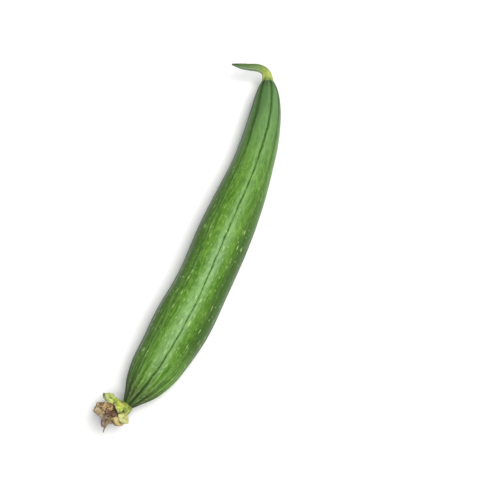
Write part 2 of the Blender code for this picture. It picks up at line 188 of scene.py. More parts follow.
def fruit_surface():
    """Rings round the bowed spine, closer together towards its ends. A ring's radius is the profile's, less a
    rounded valley and a narrow crease at each furrow, plus ridges near the flower and slow lumps. Points
    below the table are pressed up to it.

    Gives the rings with and without creases, ridges and lumps, and the skin's own measures at each point: its
    place on the straightened fruit, how far it is from the nearest furrow, how dark that furrow's line is,
    and how far up or down a ridge it lies.
    """
    even = np.linspace(0.0, 1.0, FRUIT_ROWS)
    share = 0.5 * even + 0.5 * (0.5 - 0.5 * np.cos(math.pi * even))
    spine = fruit_spine(share)
    tangents = np.gradient(spine, axis=0)
    tangents /= np.linalg.norm(tangents, axis=1, keepdims=True)
    middle, lean, ink = np.array(FURROWS, dtype=float).T
    starts = middle + lean * np.abs(2.0 * share[:, None] - 1.0) ** 1.5
    number = np.arange(len(FURROWS))
    trail = np.stack(np.broadcast_arrays(share[:, None] * FRUIT_LENGTH, 0.05 * number, 0.0), axis=-1)
    fade = smooth(share / END_FADE) * smooth((1.0 - share) / END_FADE)
    wander = lumps(trail, WANDER_PITCHES[0], 11) + 0.6 * lumps(trail, WANDER_PITCHES[1], 12)
    starts = starts + FURROW_WANDER * fade[:, None] * wander
    widths = np.diff(np.concatenate([starts, starts[:, :1] + 360.0], axis=1))
    across = np.arange(COLUMNS_PER_RIB) / COLUMNS_PER_RIB
    across = across - COLUMN_CROWDING * np.sin(2 * math.pi * across) / (2 * math.pi)
    angles = np.radians((starts[..., None] + widths[..., None] * across).reshape(FRUIT_ROWS, -1))
    valley = np.tile(1.0 - np.sin(math.pi * across) ** 0.6, len(FURROWS))
    depth = FURROW_DEPTH + FURROW_DEPTH_AT_FLOWER * np.exp(-(share / DEEPER_ENDS[0]) ** 2)
    depth = depth + FURROW_DEPTH_AT_STALK * np.exp(-((1.0 - share) / DEEPER_ENDS[1]) ** 2)
    radius = (FRUIT_RADIUS * along(FRUIT_PROFILE, share))[:, None]
    plain = radius * (1.0 - depth[:, None] * valley[None, :])

    gap = np.minimum(across, 1.0 - across) * np.radians(widths)[..., None] * radius[..., None]
    gap = gap.reshape(FRUIT_ROWS, -1)
    ink = (ink[:, None] * (1.0 - across) + np.roll(ink, -1)[:, None] * across).reshape(1, -1)
    ink = np.broadcast_to(ink, gap.shape)
    place = straightened(share * FRUIT_LENGTH, FRUIT_RADIUS, angles)
    crease = CREASE_DEPTH * np.exp(-(gap / CREASE_WIDTH) ** 2) * (0.10 + 0.90 * ink ** 2)
    crease = crease * np.minimum(1.0, radius / CREASE_RADIUS)
    ridges = np.tile(np.cos(2 * math.pi * RIDGES_PER_RIB * across), len(FURROWS)) * (1.0 - valley)
    ridges = ridges * np.exp(-((share - RIDGE_PEAK) / RIDGE_PEAK) ** 2)[:, None]
    slow = LUMP_HEIGHTS[0] * lumps(place, LUMP_PITCHES[0], 13)
    small = LUMP_HEIGHTS[1] * lumps(place * (0.5, 1.0, 1.0), LUMP_PITCHES[1], 14)
    relief = RIDGE_HEIGHT * ridges - crease + (slow + small) * fade[:, None]

    directions = round_directions(tangents, angles)
    rings = spine[:, None] + directions * (plain + relief)[..., None]
    bare = spine[:, None] + directions * plain[..., None]
    rings[..., 2] = np.maximum(rings[..., 2], 0.0)
    bare[..., 2] = np.maximum(bare[..., 2], 0.0)
    return rings, bare, {"skin_place": place, "furrow_gap": gap, "furrow_ink": ink, "skin_ridge": ridges}


def closed_skin(rings, measures):
    """The closed surface through a stack of rings: quads between them and a fan at each end.

    Gives the vertices, the faces, and each measure spread over the vertices, averaged at the fans' hubs.
    """
    rows, columns = rings.shape[:2]
    grid = np.arange(rows * columns).reshape(rows, columns)
    after = np.roll(grid, -1, axis=1)
    quads = np.stack([grid[:-1], after[:-1], after[1:], grid[1:]], axis=-1).reshape(-1, 4)
    hubs = rows * columns, rows * columns + 1
    first = np.stack([np.full(columns, hubs[0]), after[0], grid[0]], axis=-1)
    last = np.stack([np.full(columns, hubs[1]), grid[-1], after[-1]], axis=-1)

    def spread(values):
        flat = values.reshape(rows * columns, *values.shape[2:])
        return np.concatenate([flat, values[:1].mean(axis=1), values[-1:].mean(axis=1)])

    faces = quads.tolist() + first.tolist() + last.tolist()
    return spread(rings), faces, {name: spread(values) for name, values in measures.items()}


def made_piece(name, rings, measures, material, node):
    """A smooth object round a stack of rings, turned outwards, standing for a CAD node. It rides on root."""
    vertices, faces, measures = closed_skin(rings + HOME, measures)
    mesh = bpy.data.meshes.new(name)
    mesh.from_pydata(vertices.tolist(), [], faces)
    for measure, values in measures.items():
        kind, field = ("FLOAT_VECTOR", "vector") if values.ndim == 2 else ("FLOAT", "value")
        layer = mesh.attributes.new(measure, kind, "POINT")
        layer.data.foreach_set(field, np.ascontiguousarray(values, dtype=np.float32).ravel())
    mesh.calc_loop_triangles()
    corners = np.zeros(len(mesh.loop_triangles) * 3, dtype=np.int32)
    mesh.loop_triangles.foreach_get("vertices", corners)
    corners = vertices[corners.reshape(-1, 3)]
    if np.einsum("ij,ij->i", corners[:, 0], np.cross(corners[:, 1], corners[:, 2])).sum() < 0:
        mesh.flip_normals()
    mesh.shade_smooth()
    mesh.materials.append(material)
    piece = bpy.data.objects.new(name, mesh)
    bpy.context.scene.collection.objects.link(piece)
    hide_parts(node)
    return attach(piece, "root")


class Wire:
    """One output socket of a material. Sums and products on it add Math nodes, and node() adds any other."""

    def __init__(self, tree, socket=None):
        self.tree = tree
        self.socket = socket

    def node(self, kind, settings=None, inputs=None, give=0):
        """A new node: its settings first (a ramp's stops as (place, colour) pairs), then its sockets' values
        or links, by name or number. Gives the output of the given name or number."""
        new = self.tree.nodes.new(kind)
        for name, value in (settings or {}).items():
            if name == "stops":
                marks = new.color_ramp.elements
                while len(marks) < len(value):
                    marks.new(1.0)
                for stop, (place, colour) in zip(marks, value):
                    stop.position = place
                    stop.color = (*colour, 1.0)
            else:
                setattr(new, name, value)
        for name, value in (inputs or {}).items():
            if isinstance(value, Wire):
                self.tree.links.new(value.socket, new.inputs[name])
            elif isinstance(value, tuple) and new.inputs[name].type == "RGBA":
                new.inputs[name].default_value = (*value, 1.0)
            else:
                new.inputs[name].default_value = value
        return Wire(self.tree, new.outputs[give])

    def maths(self, operation, first, second=0.0):
        return self.node("ShaderNodeMath", {"operation": operation}, {0: first, 1: second})

    def __add__(self, other):
        return self.maths("ADD", self, other)

    def __sub__(self, other):
        return self.maths("SUBTRACT", self, other)

    def __rsub__(self, other):
        return self.maths("SUBTRACT", other, self)

    def __mul__(self, other):
        return self.maths("MULTIPLY", self, other)

    def __truediv__(self, other):
        return self.maths("DIVIDE", self, other)

    __radd__ = __add__
    __rmul__ = __mul__


def blank_material(name, roughness, sheen=0.0, specular=0.5):
    """A new material with a Principled shader. Gives the material, a wire to build on, and the shader."""
    material = bpy.data.materials.new(name)
    material.use_nodes = True
    shader = material.node_tree.nodes["Principled BSDF"]
    shader.inputs["Roughness"].default_value = roughness
    shader.inputs["Sheen Weight"].default_value = sheen
    shader.inputs["Specular IOR Level"].default_value = specular
    return material, Wire(material.node_tree), shader


def attribute(wire, name, give="Fac"):
    """A measure stored on the mesh: its value, or with give="Vector" its three numbers."""
    return wire.node("ShaderNodeAttribute", {"attribute_name": name}, give=give)


def number_of(vector, axis):
    """One of a vector's three numbers: X, Y or Z."""
    return vector.node("ShaderNodeSeparateXYZ", {}, {"Vector": vector}, axis)


def scaled(vector, factors):
    """A vector with each of its numbers multiplied by its own factor."""
    return vector.node("ShaderNodeVectorMath", {"operation": "MULTIPLY"}, {0: vector, 1: factors})


def grain(vector, scale, detail=2.0, rough=0.5, give=0):
    """Cloudy noise, mostly between 0.3 and 0.7, or with give="Color" three such noises as a colour."""
    return vector.node("ShaderNodeTexNoise", {}, {"Vector": vector, "Scale": scale, "Detail": detail,
                                                  "Roughness": rough}, give)


def between(value, low, high, start=0.0, end=1.0):
    """An S-curve that goes from start at low to end at high, and stays level outside them."""
    return value.node("ShaderNodeMapRange", {"interpolation_type": "SMOOTHSTEP"},
                      {"Value": value, "From Min": low, "From Max": high, "To Min": start, "To Max": end})


def over(mask, under, paint):
    """The paint laid over what is under it, as strongly as the mask says. Both are colours or wires."""
    return mask.node("ShaderNodeMix", {"data_type": "RGBA"}, {0: mask, 6: under, 7: paint}, give=2)


def painted(colour, layers):
    """The colour with each layer, a mask and its paint, laid over it in turn."""
    for mask, paint in layers:
        colour = over(mask, colour, paint)
    return colour


def flecks(place, cell, keep):
    """Soft lengthwise dashes, one in each kept cell of the given size (x, y, z), each of its own strength."""
    cells = scaled(place, tuple(1.0 / side for side in cell))
    near, lot = (place.node("ShaderNodeTexVoronoi", {"voronoi_dimensions": "3D", "feature": "F1"},
                            {"Vector": cells, "Scale": 1.0}, give) for give in ("Distance", "Color"))
    lot = place.node("ShaderNodeSeparateColor", {}, {"Color": lot})
    return between(near, 0.52, 0.10) * between(lot, 1.0 - keep, 1.15 - keep)


def dress(shader, colour, rough, height, strength, depth):
    """Feed the shader a colour, a roughness, and a relief whose bumps are depth metres high."""
    links = colour.tree.links
    links.new(colour.socket, shader.inputs["Base Color"])
    links.new(rough.socket, shader.inputs["Roughness"])
    bump = height.node("ShaderNodeBump", {}, {"Strength": strength, "Distance": depth, "Height": height})
    links.new(bump.socket, shader.inputs["Normal"])


def fruit_finish():
    """Waxy green skin, mottled by clouds, streaks, specks and blotches. Painted shade darkens both flanks,
    the left one across the neck, and a painted highlight lies whitish along its crown. It is greyer and
    banded at the neck, painted shade darkens the tip's left side, and where the flower sat it is olive-brown,
    partly its own colour and partly painted shadow under the calyx. Pale flecks and dark dashes lie
    lengthwise on it, and a dark line in each furrow with painted highlights on its edges. Near the flower,
    painted shade lies in the valleys and between the ridges, and painted highlights on their crests."""
    material, wire, shader = blank_material("gourd_skin", 0.40, specular=0.20)
    place = attribute(wire, "skin_place", "Vector")
    gap = attribute(wire, "furrow_gap") * 1000.0
    ink = attribute(wire, "furrow_ink")
    ridge = attribute(wire, "skin_ridge")
    share = number_of(place, "X") / FRUIT_LENGTH
    side = number_of(place, "Y") / FRUIT_RADIUS
    turn = wire.maths("ARCTAN2", side, number_of(place, "Z") / FRUIT_RADIUS)
    clouds = grain(scaled(place, SKIN_CLOUDS), 1.0, 3.0)
    streaks = grain(scaled(place, SKIN_STREAKS), 1.0, 3.0, 0.65)
    specks = grain(scaled(place, SKIN_SPECKS), 1.0, 3.0, 0.6)
    blotches = grain(scaled(place, SKIN_BLOTCHES), 1.0, 2.0)

    # Painted shade: the right flank darker, mostly low on the fruit, and the left flank darker, reaching
    # across the neck.
    right_flank_shade = between(side, 0.42, 0.88) * between(share, 0.76, 0.46, 0.12, 1.0) * between(share, 0.09, 0.22)
    left_shade_side = side - between(share, 0.78, 0.97) * 0.76
    # Painted highlight: a whitish streak along the crown that moves across it along the fruit, broken by
    # streaks and blotches.
    painted_highlight = between(wire.maths("ABSOLUTE", turn - (share - 0.45) * 0.35 - 0.20), 0.40, 0.06)
    painted_highlight = painted_highlight * between(share, 0.05, 0.22) * between(share, 0.84, 0.34, 0.30, 1.0)
    painted_highlight = painted_highlight * between(streaks, 0.62, 0.40, 0.50, 1.0) * between(blotches, 0.34, 0.60, 0.55, 1.0)
    banded = between(share, 0.60, 0.88)
    shoulder = share + (clouds - 0.5) * 0.02
    colour = painted(over(between(clouds, 0.36, 0.66), SKIN_DEEP, SKIN_BRIGHT), [
        (between(streaks, 0.46, 0.68) * 0.60, STREAK_PALE),
        (between(streaks, 0.50, 0.30) * 0.65, STREAK_DARK),
        (between(specks, 0.52, 0.70) * 0.40, SPECK_PALE),
        (between(specks, 0.46, 0.32) * 0.45, SPECK_DARK),
        (between(blotches, 0.50, 0.68) * 0.45, BLOTCH_PALE),
        (between(blotches, 0.48, 0.30) * 0.45, BLOTCH_DARK),
        # Painted shade on the right flank.
        (right_flank_shade * 0.84, RIGHT_FLANK_SHADE),
        # Painted highlight along the crown.
        (painted_highlight * 0.56, HIGHLIGHT_WHITE),
        (between(share, 0.70, 0.97) * 0.60, NECK_GREY),
        # Painted shade on the left flank, spreading across the neck.
        (between(left_shade_side, -0.24, -0.82) * 0.80, LEFT_FLANK_SHADE),
        (banded * between(gap, 1.2, 3.2) * 0.36, NECK_PALE),
        (banded * between(gap, 2.0, 0.2) * 0.55, NECK_DARK),
        # Painted shade on the tip's left side, then the flower's end olive-brown: partly its own colour,
        # partly painted shadow under the calyx.
        (between(share, 0.13, 0.0) * between(side, 0.30, -0.40) * 0.35, TIP_SHADE),
        (between(share + (streaks - 0.5) * 0.05, 0.095, 0.018) * 0.84, END_BROWN_AND_SHADOW),
        (between(shoulder, 0.958, 0.984) * 0.75, STALK_RING),
        (between(shoulder, 0.988, 0.994) * 0.85, SHOULDER_YELLOW)])

    swirl = place.node("ShaderNodeVectorMath", {"operation": "SUBTRACT"},
                       {0: grain(place, 420.0, 2.0, give="Color"), 1: (0.5, 0.5, 0.5)})
    warped = place.node("ShaderNodeVectorMath", {"operation": "MULTIPLY_ADD"},
                        {0: swirl, 1: (FLECK_WARP, FLECK_WARP, FLECK_WARP), 2: place})
    in_rows = between(between(gap, 0.8, 1.8) * between(gap, 5.2, 3.6), 0.0, 1.0, 0.35, 1.0)
    long = flecks(warped, LONG_FLECK, 0.36) * in_rows
    short = flecks(scaled(warped, (1.0, -1.0, 1.0)), SHORT_FLECK, 0.36) * 0.60
    pale = between((long + short) * between(share, 0.85, 0.40, 0.30, 1.0), 0.0, 1.0)
    deep = flecks(scaled(warped, (1.0, 1.0, -1.0)), DARK_DASH, 0.34) * between(share, 1.0, 0.7, 0.4, 1.0)

    dashes = grain(scaled(place, LINE_DASHES), 1.0, 2.0)
    dashed = between(dashes, 0.66 - ink * 0.30, 0.54 - ink * 0.30)
    swell = between(grain(scaled(place, LINE_SWELLS), 1.0, 2.0), 0.34, 0.66, 1.9, 0.75)
    line = between(gap * swell, 0.64, 0.14) * (1.0 - dashed * 0.95) * between(ink, 0.2, 1.0, 0.85, 0.95)
    # Painted highlights along both edges of the darker furrow lines.
    edge_highlight = between(gap, 0.7, 1.5) * between(gap, 3.6, 1.9) * between(ink, 0.4, 1.0)
    colour = painted(colour, [
        (pale * 0.70, over(between(specks, 0.40, 0.60), FLECK_GREEN, FLECK_PALE)),
        (deep * (1.0 - pale) * 0.42, DASH_GREEN),
        # Painted shade in the valleys near the flower.
        (between(gap, 1.9, 0.2) * between(share, 0.16, 0.03) * 0.62, VALLEY_SHADE),
        # Painted highlights on the edges beside the furrow lines.
        (edge_highlight * between(streaks, 0.36, 0.60) * 0.26, LINE_EDGE_HIGHLIGHT),
        (line * between(share, 0.80, 0.95, 0.80, 0.40), LINE_DARK),
        # Painted highlights on the ridges' crests and painted shade between them.
        (between(ridge, 0.1, 0.9) * 0.50, CREST_HIGHLIGHT),
        (between(ridge, -0.1, -0.9) * 0.40, TROUGH_SHADE)])

    rough = between(clouds, 0.3, 0.7, 0.34, 0.44) + pale * 0.15 + line * 0.2
    height = grain(place, 1900.0, 2.0) * 0.25 + streaks * 0.5 + pale * 0.8 - line * 0.6
    dress(shader, colour, rough, height, 0.55, 0.00016)
    return material


fruit_rings, bare_rings, fruit_measures = fruit_surface()
# Every shape here is worked out from the flower's end of the fruit, and set down where the CAD fruit lies.
HOME = np.array(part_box("fruit")[0]) - bare_rings.min(axis=(0, 1))
fruit = made_piece("gourd_fruit", fruit_rings, fruit_measures, fruit_finish(), "fruit")

# The skin unrolls onto a square, round the fruit across and lengthwise up, with a margin for its two ends.
rows, columns = fruit_rings.shape[:2]
unrolled = fruit.data.uv_layers.new(name="OFBake")
corner_vertex = np.zeros(len(fruit.data.loops), dtype=np.int32)
fruit.data.loops.foreach_get("vertex_index", corner_vertex)
face_of = np.repeat(np.arange(len(fruit.data.polygons)),
                    [polygon.loop_total for polygon in fruit.data.polygons])
column = corner_vertex % columns
row = corner_vertex // columns
face_column = face_of % columns
wraps = (face_column == columns - 1) & (column == 0)
across_square = (column + columns * wraps) / columns
up_square = 0.01 + 0.98 * row / (rows - 1)
hub = corner_vertex >= rows * columns
across_square = np.where(hub, (face_column + 0.5) / columns, across_square)
up_square = np.where(hub, (corner_vertex - rows * columns).astype(float), up_square)
unrolled.data.foreach_set("uv", np.stack([across_square, up_square], axis=-1).astype(np.float32).ravel())


# ----------------------------------------------------------------------------------------------------------
# Stalk. The woody stem that held the gourd on its vine: five blunt ribs, a yellow foot on the fruit's
# shoulder, a tight bend, and a thin green end that dried where it was cut.
# ----------------------------------------------------------------------------------------------------------
GAP = 0.0003
STALK_LENGTH = 0.0368
STALK_PROFILE = [(0.0, 0.0044), (0.10, 0.0039), (0.30, 0.0032), (0.60, 0.0027), (0.78, 0.0022),
                 (0.92, 0.0013), (1.0, 0.0006)]
STALK_HEADING = math.degrees(math.atan(2 * BOW_POWER_AT_STALK * FRUIT_BOW / FRUIT_LENGTH))
STALK_TURN = 88
STALK_TURN_SHARE = 0.53
STALK_RISE = 0.0020
STALK_SEAT = 0.993
STALK_LEVEL_SHARE = 0.30
STALK_ROWS = 150
STALK_COLUMNS = 90
STALK_RIBS = 5
# Heights as shares of the radius: the ribs, the fibres (four to a rib) and the lumps.
STALK_RELIEF = (0.07, 0.018, 0.035)
STALK_LUMP_PITCH = 0.0016
STALK_PLACE_RADIUS = 0.003

STALK_RAMP = [(0.00, (0.330, 0.420, 0.095)), (0.14, (0.370, 0.450, 0.095)), (0.28, (0.230, 0.320, 0.070)),
              (0.46, (0.092, 0.176, 0.036)), (0.80, (0.060, 0.128, 0.032)), (1.00, (0.045, 0.080, 0.028))]
FIBRE_PALE, FIBRE_DARK = (0.460, 0.560, 0.260), (0.060, 0.105, 0.022)
# Painted shade for the outside of the bend, and a paler inside.
BEND_OUTSIDE_SHADE, BEND_INSIDE = (0.075, 0.140, 0.022), (0.300, 0.400, 0.230)
FOOT_GREEN, CUT_BROWN = (0.110, 0.180, 0.040), (0.110, 0.080, 0.035)


def path(start, headings, length, rise=0.0):
    """A level path of the given length, with its heading in radians from +X towards +Y at every point."""
    steps = np.full(len(headings) - 1, length / (len(headings) - 1))
    middle = (headings[:-1] + headings[1:]) / 2
    points = np.zeros((len(headings), 3))
    points[1:, 0] = np.cumsum(steps * np.cos(middle))
    points[1:, 1] = np.cumsum(steps * np.sin(middle))
    points[:, 2] = rise * smooth(np.linspace(0.0, 1.0, len(headings)))
    return points + start


def stalk_surface():
    """Rings along a level path that turns by an S-curve. Each ring is a circle with five blunt ribs and fine
    fibres, and as it tapers it keeps to the outer side of the bend."""
    share = np.linspace(0.0, 1.0, STALK_ROWS)
    headings = np.radians(STALK_HEADING + STALK_TURN * smooth(share / STALK_TURN_SHARE))
    foot = fruit_spine(np.array([1.0]))[0]
    foot += GAP * np.array([math.cos(headings[0]), math.sin(headings[0]), 0.0])
    centre = path(foot, headings, STALK_LENGTH, STALK_RISE)
    near = fruit_spine(np.array([STALK_SEAT, 1.0]))
    pitch = (near[1, 2] - near[0, 2]) / np.linalg.norm(near[1, :2] - near[0, :2])
    pitch = pitch * (1.0 - smooth(share / STALK_LEVEL_SHARE))
    centre[1:, 2] += np.cumsum(pitch[:-1]) * STALK_LENGTH / (STALK_ROWS - 1)
    tangents = np.stack([np.cos(headings), np.sin(headings), pitch], axis=1)
    tangents /= np.linalg.norm(tangents, axis=1, keepdims=True)
    outer_side = np.stack([np.sin(headings), -np.cos(headings), np.zeros(STALK_ROWS)], axis=1)
    radius = along(STALK_PROFILE, share)
    full = along(STALK_PROFILE, np.minimum(share, 0.6))
    centre = centre + outer_side * (full - radius)[:, None]
    angles = ring_angles(STALK_ROWS, STALK_COLUMNS)
    place = straightened(share * STALK_LENGTH, STALK_PLACE_RADIUS, angles)
    ribs = 1.0 + STALK_RELIEF[0] * np.cos(STALK_RIBS * angles)
    ribs = ribs + STALK_RELIEF[1] * np.cos(4 * STALK_RIBS * angles + 1.0)
    ribs = ribs + STALK_RELIEF[2] * lumps(place * (0.35, 1.0, 1.0), STALK_LUMP_PITCH, 21)
    rings = centre[:, None] + round_directions(tangents, angles) * (radius[:, None] * ribs)[..., None]
    return rings, {"stalk_place": place}


def ramp(value, stops):
    """The colour that a value has on a ramp of (place, colour) stops."""
    return value.node("ShaderNodeValToRGB", {"stops": stops}, {"Fac": value}, "Color")


def stalk_finish():
    """Fibrous stem skin, from yellow at its foot through green to a dark dry tip, with painted shade outside
    the bend.
    """
    material, wire, shader = blank_material("stalk_fibre", 0.50, specular=0.35)
    place = attribute(wire, "stalk_place", "Vector")
    share = number_of(place, "X") / STALK_LENGTH
    outer = number_of(place, "Y") / STALK_PLACE_RADIUS
    fibres = grain(scaled(place, (120.0, 1500.0, 1500.0)), 1.0, 3.0, 0.6)
    clouds = grain(place, 260.0, 2.0)
    colour = ramp(share + (clouds - 0.5) * 0.25, STALK_RAMP)
    colour = painted(colour, [
        (between(fibres, 0.52, 0.72) * between(share, 0.2, 0.5, 0.40, 0.15), FIBRE_PALE),
        (between(fibres, 0.46, 0.28) * 0.50, FIBRE_DARK),
        # Painted shade on the outside of the bend; the inside is paler.
        (between(outer, 0.25, 0.95) * between(share, 0.12, 0.5) * 0.40, BEND_OUTSIDE_SHADE),
        (between(outer, -0.2, -0.9) * between(share, 0.15, 0.4) * 0.35, BEND_INSIDE),
        (between(share + (clouds - 0.5) * 0.06, 0.050, 0.0) * 0.35, FOOT_GREEN),
        (between(share, 0.965, 0.995) * 0.80, CUT_BROWN)])
    dress(shader, colour, between(fibres, 0.3, 0.7, 0.62, 0.42), fibres + clouds * 0.5, 0.6, 0.00015)
    return material


stalk_rings, stalk_measures = stalk_surface()
made_piece("gourd_stalk", stalk_rings, stalk_measures, stalk_finish(), "stem")


# ----------------------------------------------------------------------------------------------------------
# Calyx. The short green-yellow collar on the flower's end of the fruit, with five blunt leafy sepals that
# grew from its rim and have bent back as they dried. Fine veins run along each sepal.
# ----------------------------------------------------------------------------------------------------------
COLLAR_LENGTH = 0.0040
COLLAR_PROFILE = [(0.0, 0.0043), (0.5, 0.0051), (1.0, 0.0058)]
COLLAR_TURN = 28
COLLAR_ROWS = 44
COLLAR_COLUMNS = 180
COLLAR_RIBS = 10
# Heights as shares of the radius: the ribs and the creases.
COLLAR_RELIEF = (0.025, 0.075)
COLLAR_CREASES = (0.0026, 0.0012)     # pitches of its large and small creases
COLLAR_PLACE_RADIUS = 0.005
# Each sepal: angle round the collar, lean from its axis at root and tip, roll at root and tip, length, width,
# and how dry it is: 0 green, 0.7 yellow, 1 tan.
SEPALS = [(-86, 46, 52, 5, 62, 0.0154, 0.0100, 0.34), (-58, 46, 48, 5, 64, 0.0140, 0.0082, 0.56),
          (-8, 40, 62, 0, 0, 0.0084, 0.0108, 0.72), (74, 46, 44, -10, -62, 0.0084, 0.0098, 0.90),
          (190, 50, 76, 0, 0, 0.0095, 0.0085, 0.40)]
COLLAR_DRY = 0.60
CALYX_RAMP = [(0.00, (0.100, 0.215, 0.026)), (0.30, (0.215, 0.365, 0.045)), (0.52, (0.340, 0.440, 0.058)),
              (0.72, (0.510, 0.580, 0.095)), (0.90, (0.490, 0.465, 0.185)), (1.00, (0.420, 0.325, 0.150))]
SEPAL_VEIN, SEPAL_GROOVE = (0.520, 0.560, 0.230), (0.130, 0.180, 0.028)
SEPAL_SPOTS, SEPAL_STAIN, SEPAL_YELLOW = (0.130, 0.130, 0.026), (0.125, 0.140, 0.018), (0.640, 0.690, 0.110)
SEPAL_MARGIN, SEPAL_BLEACHED = (0.420, 0.420, 0.250), (0.470, 0.510, 0.250)
# The tip colour is the dry tips' own; painted shade for the root and the folds, and a painted highlight for
# the crests.
SEPAL_TIP, SEPAL_ROOT_SHADE = (0.230, 0.180, 0.080), (0.110, 0.125, 0.018)
SEPAL_FOLD_SHADE, SEPAL_CREST_HIGHLIGHT = (0.070, 0.092, 0.012), (0.640, 0.700, 0.200)
SEPAL_THICKNESS = 0.0009
SEPAL_CIRCLE = 0.0044                 # radius of the circle that the sepals grow from
SEPAL_DEPTH = 0.0011                  # how far inside the rim they are rooted
# Pitches of the lumps that tear a leaf's margins, crumple its sheet and shift it sideways.
TORN_PITCHES = (0.0016, 0.0007)
FOLD_PITCHES = (0.0050, 0.0023, 0.0011)
DRIFT_PITCH = 0.0045
TIP_HEADING = math.degrees(math.atan(2 * BOW_POWER_AT_FLOWER * FRUIT_BOW / FRUIT_LENGTH))


def tip_path(start, headings, length):
    """A level path like path(), with headings in degrees from -X towards +Y, and its tangents."""
    turned = np.radians(180.0 - headings)
    tangents = np.stack([np.cos(turned), np.sin(turned), np.zeros(len(turned))], axis=1)
    return path(start, turned, length), tangents


def collar_path(rows):
    """The collar's centre line, from the fruit's tip outwards, with its tangents."""
    headings = TIP_HEADING + COLLAR_TURN * smooth(np.linspace(0.0, 1.0, rows))
    away = np.radians(180.0 - TIP_HEADING)
    seat = fruit_spine(np.array([0.0]))[0] + GAP * np.array([math.cos(away), math.sin(away), 0.0])
    return tip_path(seat, headings, COLLAR_LENGTH)


def collar_surface():
    """Rings along the collar's path, wider outwards, with ten blunt ribs and lumps folded into creases."""
    centre, tangents = collar_path(COLLAR_ROWS)
    share = np.linspace(0.0, 1.0, COLLAR_ROWS)
    angles = ring_angles(COLLAR_ROWS, COLLAR_COLUMNS)
    place = straightened(share * COLLAR_LENGTH, COLLAR_PLACE_RADIUS, angles)
    folds = 1.0 - 2.2 * np.abs(lumps(place, COLLAR_CREASES[0], 31))
    folds = folds - 1.3 * np.abs(lumps(place, COLLAR_CREASES[1], 32))
    folds = folds * smooth(share / 0.2)[:, None]
    relief = COLLAR_RELIEF[0] * np.cos(COLLAR_RIBS * angles) + COLLAR_RELIEF[1] * folds
    radius = along(COLLAR_PROFILE, share)[:, None] * (1.0 + relief)
    rings = centre[:, None] + round_directions(-tangents, angles) * radius[..., None]
    leaf = np.stack(np.broadcast_arrays(0.25 * share[:, None], np.sin(5 * angles) * 0.5, 0.9), axis=-1)
    return rings, {"leaf_place": leaf, "leaf_dry": np.full(angles.shape, COLLAR_DRY), "leaf_fold": folds}


def tongue(root, axis, angle, lean, roll, length, width, thickness, cup, waves, pleats, pleat_depth, ragged,
           crumple, narrowing, blunt, veins, dry, seed, rows=64, columns=72):
    """A thin leaf of rounded oval outline, as a closed surface.

    Its centre line leaves root at lean[0] degrees from the axis, in the plane at the given angle round it,
    and bends to lean[1]. Rings round that line are flattened circles: the cosine of the ring's angle is the
    place across the leaf and its sine gives the thickness. Across, the leaf is an arc that turns by cup
    radians to each margin. It turns about its line from roll[0] to roll[1], its margins are waved and ragged,
    pleats run along it, and lumps folded into sharp creases crumple it.
    """
    out = round_directions(-axis[None, :], np.radians([[angle]]))[0, 0]
    share = np.linspace(0.0, 1.0, rows)
    bend = np.radians(lean[0] + (lean[1] - lean[0]) * share)[:, None]
    turn = np.radians(roll[0] + (roll[1] - roll[0]) * smooth(share))[:, None]
    ahead = np.cos(bend) * axis + np.sin(bend) * out
    level = np.cross(axis, out)
    rise = np.cos(bend) * out - np.sin(bend) * axis
    side = np.cos(turn) * level + np.sin(turn) * rise
    back = np.cos(turn) * rise - np.sin(turn) * level
    centre = np.zeros((rows, 3))
    centre[1:] = np.cumsum((ahead[:-1] + ahead[1:]) / 2, axis=0) * length / (rows - 1)
    centre += root
    ring = np.arange(columns) * 2 * math.pi / columns
    across = np.broadcast_to(np.cos(ring), (rows, columns))
    rounded = np.sqrt(np.maximum(1.0 - share ** blunt, 0.0004))
    half = 0.5 * width * np.sin(math.pi * (0.16 + narrowing * share ** 1.2)) * rounded
    sheet = np.stack(np.broadcast_arrays(share[:, None] * length, across * width / 2, seed * 0.01), axis=-1)
    margin = np.stack(np.broadcast_arrays(share[:, None] * length, np.sign(across) * 0.02, seed * 0.01),
                      axis=-1)
    torn = lumps(margin, TORN_PITCHES[0], seed) + 0.6 * lumps(margin, TORN_PITCHES[1], seed + 1)
    half = half[:, None] * (1.0 + ragged * across ** 2 * torn)
    ripple = waves * np.sin(2 * math.pi * (1.5 * share[:, None] + 0.25 * np.sign(across))) * across ** 2
    lift = ripple * half - half * (1.0 - np.cos(cup * across)) / cup
    freed = smooth(share / 0.25)[:, None]
    lift = lift + pleat_depth * np.cos(math.pi * pleats * across + 2.5 * share[:, None] + seed) * freed
    folds = 1.1 - 1.7 * np.abs(lumps(sheet, FOLD_PITCHES[0], seed + 2))
    folds = folds - 1.2 * np.abs(lumps(sheet, FOLD_PITCHES[1], seed + 3))
    folds = folds + 0.45 * lumps(sheet, FOLD_PITCHES[2], seed + 5)
    lift = lift + crumple * folds * freed
    drift = 1.5 * crumple * freed * lumps(sheet, DRIFT_PITCH, seed + 4)
    ribs = np.cos(math.pi * veins * across) * (0.4 + 0.6 * share[:, None])
    swell = np.sign(np.sin(ring)) * np.abs(np.sin(ring)) ** 0.6
    thick = 0.5 * thickness * (1.0 - 0.35 * across ** 2) * rounded[:, None] * (1.0 + 0.22 * ribs) * swell
    points = centre[:, None] + side[:, None] * (half * np.sin(cup * across) / cup + drift)[..., None]
    points = points + back[:, None] * (lift + thick)[..., None]
    leaf = np.stack(np.broadcast_arrays(share[:, None], across, seed * 0.1), axis=-1)
    return points, {"leaf_place": leaf, "leaf_dry": np.full(across.shape, dry), "leaf_fold": folds * freed}


